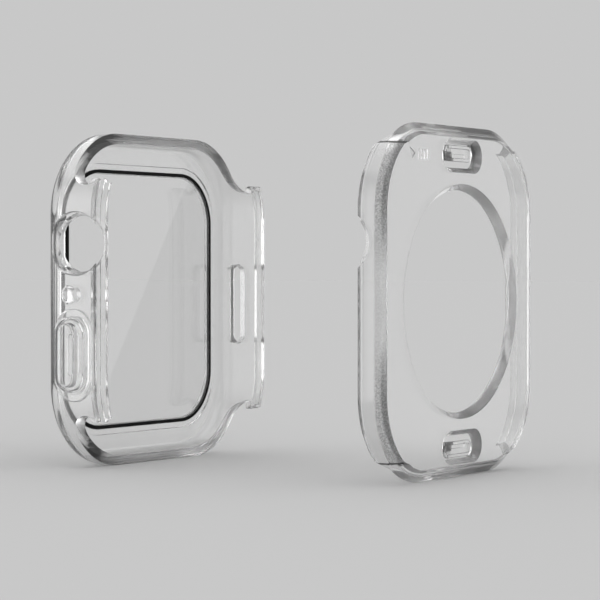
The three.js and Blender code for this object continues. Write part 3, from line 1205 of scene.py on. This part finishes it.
@dataclass
class SideButton(CasePart):
    """Pad over the watch's side button, with its stem, flange and pusher, and the retainer."""

    pad: Outline = Outline(2.8 * MM, 9.0 * MM, 1.39 * MM)
    stem: Outline = Outline(4.3 * MM, 10.0 * MM, 2.14 * MM)
    flange: Outline = Outline(5.3 * MM, 11.0 * MM, 2.64 * MM)
    pusher: Outline = Outline(1.6 * MM, 6.0 * MM, 0.79 * MM)
    outer: Outline = Outline(6.06 * MM, 12.86 * MM, 3.0 * MM)
    inner: Outline = Outline(4.06 * MM, 10.36 * MM, 2.0 * MM)

    def build(self, clear: Material, shell: Material) -> None:
        """Makes the button, and the thin frame that keeps its flange in the pocket.

        Args:
            clear: Material of the button.
            shell: Material of the frame.
        """
        inwards = self.place.along(self.case.side, self.case.hole_depth, self.case.button_height)
        top = turn((0.4, -0.9), (0, -0.9), (0, -0.5), 5) + turn((0, -0.12), (0, 0), (-0.12, 0), 2)
        rows = (
            (self.pad, top),
            (self.stem, [(0.1, 0), (0, 0.1), (0, 1.3)]),
            (self.flange, [(0.05, 1.3), (0, 1.35), (0, 1.6), (0.05, 1.65)]),
            (self.pusher, [(0, 1.65), (0, 2.1), (0.1, 2.2)]),
        )
        button = loft("button_pad", rows, inwards, Way.SIDE, ROUND_STEPS)
        smooth(button)
        dress(button, clear, "button", "side_button", "button_plastic")
        rows = (
            (self.outer, [(0, 1.95), (0, 2.17), (0.03, 2.2)]),
            (self.inner, [(-0.03, 2.2), (0, 2.17), (0, 1.95)]),
        )
        retainer = loft("button_frame", rows, inwards, Way.SIDE, ROUND_STEPS, hollow=True)
        smooth(retainer)
        dress(retainer, shell, "shell", "side_button_retainer", "shell_plastic")


@dataclass
class RearCover(CasePart):
    """Rear half of the case: plate, bevel, skirts, lip, sensor opening, slots and press tabs."""

    slot_height: float = 19.6 * MM
    slot: Outline = Outline(9.6 * MM, 3.2 * MM, 1.59 * MM)
    tab: Outline = Outline(7.8 * MM, 2.2 * MM, 1.09 * MM)
    tab_lift: float = 0.35 * MM
    bar: Outline = Outline(5.0 * MM, 0.7 * MM, 0.34 * MM)
    bar_drop: float = 0.05 * MM

    def profile(self) -> Rows:
        """Row from the middle of the back, round the skirt and lip, to the inner face.

        Returns:
            The row, with the outline of the case.
        """
        row = turn((1.34, 12.2), (1.2, 12.2), (1.1, 12.1), 3)
        row += turn((0.1, 11.1), (0, 11.0), (0, 10.86), 3)
        row += turn((0, 9.05), (0, 8.9), (0.15, 8.9), 3)
        row += [(0.6, 8.9), (0.65, 8.85), (0.65, 8.2), (0.72, 8.12), (0.78, 8.1), (1.12, 8.1)]
        row += [(1.18, 8.12), (1.25, 8.2), (1.25, 8.86), (1.35, 8.96)]
        row += turn((1.35, 10.55), (1.35, 10.9), (1.7, 10.9), 4)
        return [(self.case.outline, row)]

    def end_tool(self, sign: int) -> Object:
        """Tool that takes the skirt away behind the band opening at one end."""
        points = [(7.0, 24.9), (10.45, 24.9), (10.45, 21.75), (10.36, 21.55), (8.9, 20.6)]
        return self.beam("end_tool", points + [(7.0, 20.6)], sign)

    def bevel_tool(self, sign: int) -> Object:
        """Tool that deepens the bevel round one end of the cover.

        Args:
            sign: 1 for the upper end and -1 for the lower one.

        Returns:
            The tool.
        """
        row = [(-0.1, 10.55), (1.7, 12.35), (1.7, 13.2), (-1.0, 13.2), (-1.0, 10.55)]
        wedge = loft("bevel_tool", [(self.case.outline, row)], self.place.down(), hollow=True)
        start, past = 20.85, -30.0
        keep = [(9.0, start), (14.0, start), (14.0, past), (9.0, past)]
        work(wedge, self.beam("end_limit", keep, sign, half=30 * MM))
        return wedge

    def slot_tool(self, sign: int) -> Object:
        """Tool for the slot over the band release button at one end.

        Args:
            sign: 1 for the upper end and -1 for the lower one.

        Returns:
            The tool.
        """
        row = [(0, 10.0), (0, 11.45), (-0.04, 11.53), (-0.6, 12.12), (-0.68, 12.2)]
        row += [(-0.75, 12.201), (-0.75, 13.2)]
        middle = self.place.down(sign * self.slot_height)
        return loft("slot_tool", [(self.slot, row)], middle, steps=ROUND_STEPS)

    def notch_tool(self) -> Object:
        """Tool for the crown notch in the near skirt."""
        radii = [(-1.0, self.case.crown_radius / MM), (2.2, self.case.crown_radius / MM)]
        return self.bore("notch_tool", radii, self.case.crown_depth, self.case.crown_height)

    def sensor_tool(self) -> Object:
        """Tool for the sensor opening, flared at the back.

        Returns:
            The tool.
        """
        line = [(10.0, 0), (10.0, 15.2), (10.899, 15.2), (10.93, 15.08), (11.05, 15.0)]
        line += [(11.36, 15.0), (11.44, 15.03), (12.12, 15.72), (12.2, 15.83), (12.201, 15.9)]
        line += [(13.2, 15.9), (13.2, 0)]
        points = [self.place.at(radius * MM, depth * MM, 0) for depth, radius in line]
        return turned("sensor_tool", points, self.place.at(0, 0, 0), THROUGH, steps=160)

    def mark_tools(self) -> Iterable[Object]:
        """Makes the tools for the opening mark: an arrow head and four grip bars.

        Yields:
            Each tool, once the one before it has been used.
        """
        left, top, deep, size, step = -14.4 * MM, 20.3 * MM, 12.05 * MM, 1.5 * MM, 0.8 * MM
        out = Vector((0, -1.0 * MM, 0))
        head = [(0, 0), (size, -size / 2), (size / 2, -size)]
        yield plate("arrow_tool", [self.place.at(left + x, deep, top + z) for x, z in head], out)
        corners = [(0, -1.5), (0.35, -1.5), (0.35, -0.2), (0, -0.2)]
        for bar in range(1, 5):
            start = left + size + bar * step
            points = [self.place.at(start + x * MM, deep, top + z * MM) for x, z in corners]
            yield plate("bar_tool", points, out)

    def build(self) -> Object:
        """Makes the mesh of the cover.

        Returns:
            The finished piece.
        """
        cover = loft("cover_rear", self.profile(), self.place.down())
        for sign in (1, -1):
            for tool in (self.bevel_tool, self.end_tool, self.slot_tool):
                work(cover, tool(sign))
        work(cover, self.notch_tool())
        work(cover, self.sensor_tool())
        for tool in self.mark_tools():
            work(cover, tool)
        return cover

    def sparked(self, centre: Vector, normal: Vector) -> bool:
        """Tells the sparked strip along the near side's bevel from the other faces.

        Args:
            centre: Centre of a face.
            normal: Its normal.

        Returns:
            Whether it is sparked.
        """
        x, depth, z = self.place.spot(centre)
        slanted = -0.85 < normal.y < -0.5 and normal.x * x + normal.z * z > 0
        return slanted and 11.0 < depth < 12.19 and abs(z) < 20.9 and x < -14.9

    def holds_crease_shade(self, centre: Vector, normal: Vector) -> bool:
        """Whether a face can hold the painted shade in the creases at the ends of that strip."""
        x, depth, z = self.place.spot(centre)
        return x < -13.6 and 19.6 < abs(z) < 21.8 and depth > 10.0

    def painted_shade(self, place: Vector, normal: Vector) -> float:
        """Painted shade of a corner: lip, notch, mark, openings, skirts, end bevels, in that order.

        Args:
            place: Place of the corner.
            normal: Normal of its face.

        Returns:
            The share of painted shade.
        """
        x, depth, z = self.place.spot(place)
        if depth < 8.95 and x < -19.5 and normal.x < -0.3:
            return 0.75
        reach = math.hypot(*self.case.from_crown(depth, z))
        if x < -18.5 and reach < self.case.crown_radius / MM + 0.05 and abs(normal.x) < 0.9:
            return 0.5
        if 12.0 < depth < 12.195 and -15 < x < -8.5 and 18.4 < z < 20.6:
            return 0.14 if normal.y < -0.9 else 0.5
        if depth > 11.3 and -0.95 < normal.y < -0.2 and math.hypot(x, z) < 15.95:
            stops = [(-125, 0), (-95, 0.2), (-60, 0.36), (-20, 0.32), (20, 0.18), (70, 0)]
            return ramp(math.degrees(math.atan2(z, x)), stops)
        by_slot = abs(x) < 5.7 and abs(abs(z) - self.slot_height / MM) < 2.5
        if by_slot and depth > 10.8 and normal.y > -0.95:
            deep = [(11.4, 0.8), (11.6, 0.7), (12.1, 0.26)] if z > 0 else [(11.4, 0.1), (11.6, 0.4)]
            return ramp(x, [(1.0, 0.0), (3.8, 1.0)]) * ramp(depth, deep) if normal.y < 0.5 else 0.0
        if depth < 11.0 and abs(normal.x) > 0.3 and abs(x) > 17.5:
            return 0.18 if x > 0 else 0.08
        on_slot = abs(x) < 5.7 and abs(z) < 22
        if abs(z) < 20.5 or depth < 9.5 or abs(normal.z) < 0.3 or on_slot:
            return 0.0
        if z > 0:
            stops = [(-18, 0.1), (-10, 0.3), (0, 0.42), (8, 0.7), (12, 0.72), (15, 0.45)]
        else:
            stops = [(-18, 0.0), (-4, 0.12), (2, 0.45), (10, 0.6), (14, 0.45)]
        return ramp(x, stops + [(18, 0.05)])

    def finish(self, cover: Object, material: Material) -> None:
        """Smooths and dresses the cover, with the sparked skin on its near bevel.

        Args:
            cover: The mesh.
            material: Its material.
        """
        smooth(cover)
        # Painted shade on the lip, notch, mark, openings, skirts and end bevels.
        shade_corners(cover, "painted_shade", self.painted_shade)
        mark_faces(cover, "sparked", self.sparked)
        # Painted shade along the creases at the ends of the sparked strip.
        mark_faces(cover, "crease_shade", self.holds_crease_shade)
        dress(cover, material, "cover", "rear_cover", "cover_plastic")

    def paint_tab_shade(self, tab: Object, sign: int) -> None:
        """Scores a tab and paints shade on its left end and on a short line past that end.

        Args:
            tab: The tab.
            sign: 1 for the upper tab and -1 for the lower one.
        """
        step = 0.08 * MM
        end, tail = self.place.middle_x - 1.4 * MM, self.place.middle_x - 3.0 * MM
        line = self.place.middle_z + sign * (self.slot_height + self.tab_lift + 0.15 * MM)
        along = (end, end + step, tail, tail - step, tail + 3 * step, tail + 4 * step)
        score(tab, lambda centre, normal: abs(normal.x) < 0.5, along)
        score(tab, lambda centre, normal: normal.y < -0.5, (line, line + sign * step), UP)
        smooth(tab)

        def painted_shade(place: Vector, normal: Vector) -> float:
            """Painted shade of a corner: the end below the line, and the short tail above it.

            Args:
                place: Where the corner is.
                normal: The normal of its face.

            Returns:
                The strength of the painted shade, from 0 to 1.
            """
            if sign * (place.z - line) < step / 2:
                return 0.85 if place.x < end + step / 2 else 0.0
            on_tail = tail - step / 2 < place.x < tail + 3.5 * step
            return 1.0 if on_tail and normal.y < -0.5 else 0.0

        # Painted shade on the tab's left end and on the short tail past it.
        shade_corners(tab, "painted_shade", painted_shade)

    def build_tab(self, sign: int, material: Material) -> None:
        """Makes one press tab with the bar that reaches the band's release button.

        Args:
            sign: 1 for the upper tab and -1 for the lower one.
            material: Its material.
        """
        name = "upper" if sign > 0 else "lower"
        row = [(0.05, 10.9), (0, 10.95), (0, 11.42), (0.06, 11.5), (0.42, 11.5)]
        row += [(0.48, 11.44), (0.48, 11.22)]
        middle = self.place.down(sign * (self.slot_height + self.tab_lift))
        tab = loft(f"{name}_tab", [(self.tab, row)], middle, steps=ROUND_STEPS)
        row = [(0.05, 10.55), (0, 10.6), (0, 11.2), (0.05, 11.25)]
        middle = self.place.down(sign * (self.slot_height - self.bar_drop))
        work(tab, loft("tab_bar", [(self.bar, row)], middle, steps=8), Cut.ONTO)
        self.paint_tab_shade(tab, sign)
        dress(tab, material, f"{name}_tab", f"{name}_release_tab", "cover_plastic")


@dataclass(frozen=True)
class SoftBox:
    """A soft patch of light that reflections show.

    Attributes:
        aim: Unit vector towards the patch.
        level: How much brighter than the backdrop its middle is.
        reach: Cosine of the angle from its middle to its edge.
        core: Cosine of the angle from its middle to where it is brightest.
    """

    aim: Triple
    level: float
    reach: float = 0.78
    core: float = 0.97


@dataclass(frozen=True)
class Studio:
    """Pale floor, backdrop tone, soft light and the camera."""

    tone: float = 0.578
    floor_tone: float = 0.58
    side_tone: float = 0.34
    top_tone: float = 1.5
    azimuth: float = -57.5
    elevation: float = 0.8
    distance: float = 0.33
    pixels_per_radian: float = 2340.0
    aim_right: float = 0.0014
    picture: int = 600
    bounces: int = 24
    boxes: tuple[SoftBox, SoftBox] = (
        SoftBox((-0.843, 0.537, 0.0), 1.5),
        SoftBox((0.843, -0.537, 0.0), 0.34),
    )

    @cache
    def glow(self) -> NodeTree:
        """Node group for the soft boxes, shared by the world and the floor.

        Returns:
            The group, with input Toward and output Glow.
        """
        wiring, given, out = new_group("soft_glow", {"Toward": "Vector"}, {"Glow": "Float"})
        aim = wiring.vector("NORMALIZE", given["Toward"])
        patches = []
        for box in self.boxes:
            toward = wiring.vector("DOT_PRODUCT", aim, box.aim)
            patches.append(
                wiring.spread(toward, box.reach, box.core, high=box.level, ease="SMOOTHSTEP")
            )
        wiring.fill(out, {"Glow": wiring.number("ADD", *patches)})
        return wiring.tree

    def shown_glow(self, wiring: Wiring, toward: NodeSocket) -> NodeSocket:
        """Adds the soft boxes to a tree, for light that was reflected at least once.

        Args:
            wiring: Wiring of the world's or the floor's nodes.
            toward: Direction in which the boxes are looked up.

        Returns:
            The glow.
        """
        patch = wiring.add("Group", {"Toward": toward}, node_tree=self.glow())
        depth = wiring.add("LightPath").outputs["Glossy Depth"]
        share = wiring.number("MINIMUM", depth, 1.0)
        return wiring.number("MULTIPLY", patch.outputs["Glow"], share)

    def surround(self, wiring: Wiring) -> NodeSocket:
        """Adds what shiny and clear surfaces show of the world.

        Args:
            wiring: Wiring of the world's nodes.

        Returns:
            Its colour.
        """
        aim = wiring.where("Generated")
        height = wiring.spread(wiring.height(aim), -1.0, 1.0)
        rise = wiring.add("ValToRGB", {"Fac": height})
        stops = [(0.0, self.tone), (0.60, self.tone), (0.70, self.side_tone)]
        stops += [(0.80, self.side_tone), (0.86, self.top_tone), (1.0, self.top_tone)]
        elements = rise.color_ramp.elements
        for position, _ in stops[1:-1]:
            elements.new(position)
        for element, (_, level) in zip(elements, stops):
            element.color = grey(level)
        return wiring.vector("ADD", rise.outputs["Color"], self.shown_glow(wiring, aim))

    def light(self) -> None:
        """Sets the world: a flat tone behind the object, and soft light round it."""
        world = bpy.data.worlds.new("studio")
        world.use_nodes = True
        bpy.context.scene.world = world
        world.node_tree.nodes.clear()
        wiring = Wiring(world.node_tree)
        flat, soft, around = (
            wiring.add("Background", {"Color": colour}).outputs[0]
            for colour in (grey(self.tone), grey(1.0), self.surround(wiring))
        )
        ray = wiring.add("LightPath").outputs
        shiny = wiring.number("MAXIMUM", ray["Is Glossy Ray"], ray["Is Transmission Ray"])
        lit = wiring.add("MixShader", {"Fac": shiny, 1: soft, 2: around}).outputs[0]
        seen = wiring.add("MixShader", {"Fac": ray["Is Camera Ray"], 1: lit, 2: flat}).outputs[0]
        wiring.add("OutputWorld", {"Surface": seen})

    def floor(self, middle: Vector) -> None:
        """Makes the pale floor, which shows the soft boxes in reflections as the world does.

        Args:
            middle: Middle of the case, which the boxes are seen from.
        """
        bpy.ops.object.select_all(action="DESELECT")
        bpy.ops.mesh.primitive_plane_add(size=8.0, location=(0, 0, 0))
        ground = bpy.context.active_object
        ground.name = "studio_floor"
        material, shader, wiring = new_material("pale_floor")
        toward = wiring.vector("SUBTRACT", wiring.where(), middle)
        sockets = {
            "Base Color": grey(self.floor_tone),
            "Specular IOR Level": 0.0,
            "Emission Strength": 1.0,
            "Emission Color": self.shown_glow(wiring, toward),
        }
        wiring.fill(shader, sockets)
        material.cycles.emission_sampling = "NONE"
        ground.data.materials.append(material)

    def camera(self, middle: Vector) -> None:
        """Places the camera at the photograph's viewing angle.

        Args:
            middle: What it is aimed at, but for a small shift sideways.
        """
        angle, lift = math.radians(self.azimuth), math.radians(self.elevation)
        back = Vector(
            (math.sin(angle) * math.cos(lift), -math.cos(angle) * math.cos(lift), math.sin(lift))
        )
        right = Vector((math.cos(angle), math.sin(angle), 0))
        data = bpy.data.cameras.new("studio_camera")
        data.sensor_width = 36.0
        data.lens = self.pixels_per_radian * data.sensor_width / self.picture
        data.clip_start = 0.01
        data.clip_end = 20.0
        camera = bpy.data.objects.new("studio_camera", data)
        bpy.context.scene.collection.objects.link(camera)
        camera.location = middle + right * self.aim_right + back * self.distance
        camera.rotation_mode = "QUATERNION"
        camera.rotation_quaternion = back.to_track_quat("Z", "Y")
        bpy.context.scene.camera = camera

    def settings(self) -> None:
        """Sets the view transform and how often light may bend."""
        scene = bpy.context.scene
        scene.view_settings.view_transform = "Standard"
        scene.cycles.max_bounces = self.bounces
        scene.cycles.transmission_bounces = self.bounces
        scene.cycles.glossy_bounces = self.bounces
        scene.cycles.diffuse_bounces = self.bounces // 2
        scene.cycles.transparent_max_bounces = self.bounces


def place_of(low: Vector, high: Vector, face_y: float) -> Place:
    """Place of one half, from the box of its largest node and the Y of its front face."""
    return Place((low.x + high.x) / 2, (low.z + high.z) / 2, face_y)


def main() -> None:
    """Builds the case and the studio."""
    case = CaseSizes()
    shell_low, shell_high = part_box("front_shell")
    cover_low, cover_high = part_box("rear_cover")
    shell_place = place_of(shell_low, shell_high, shell_high.y)
    cover_place = place_of(cover_low, cover_high, cover_low.y + 12.2 * MM)
    shell_plastic = ClearPlastic("shell_plastic", satin=0.1, mark="satin", painted_shade="painted_shade").build()
    cover_plastic = ClearPlastic(
        "cover_plastic",
        tint=(0.97, 0.97, 0.97),
        density=24.0,
        satin=0.45,
        mark="sparked",
        grain=6.0,
        painted_shade="painted_shade",
        skin=SparkedSkin(),
    ).build()
    button_plastic = ClearPlastic("button_plastic").build()
    screen = ClearPlastic(
        "screen_glass",
        tint=(0.935, 0.935, 0.935),
        polish=0.0,
        clearness=0.985,
        density=10.0,
        skin=PaintedReflection(),
    ).build()
    black = InkedEdge("black_edge").build()
    bond = InkedEdge("bond_film", (0.003, 0.003, 0.0032), 0.5).build()

    front = FrontShell(shell_place, case)
    front.finish(front.build(), shell_plastic)
    ScreenGlass(shell_place, case).build(screen, black, bond)
    SideButton(shell_place, case).build(button_plastic, shell_plastic)
    rear = RearCover(cover_place, case)
    rear.finish(rear.build(), cover_plastic)
    for sign in (1, -1):
        rear.build_tab(sign, cover_plastic)

    studio = Studio()
    studio.settings()
    studio.light()
    low, high = CAD_BOX
    studio.floor((low + high) / 2)
    studio.camera((low + high) / 2)


if __name__ == "__main__":
    main()
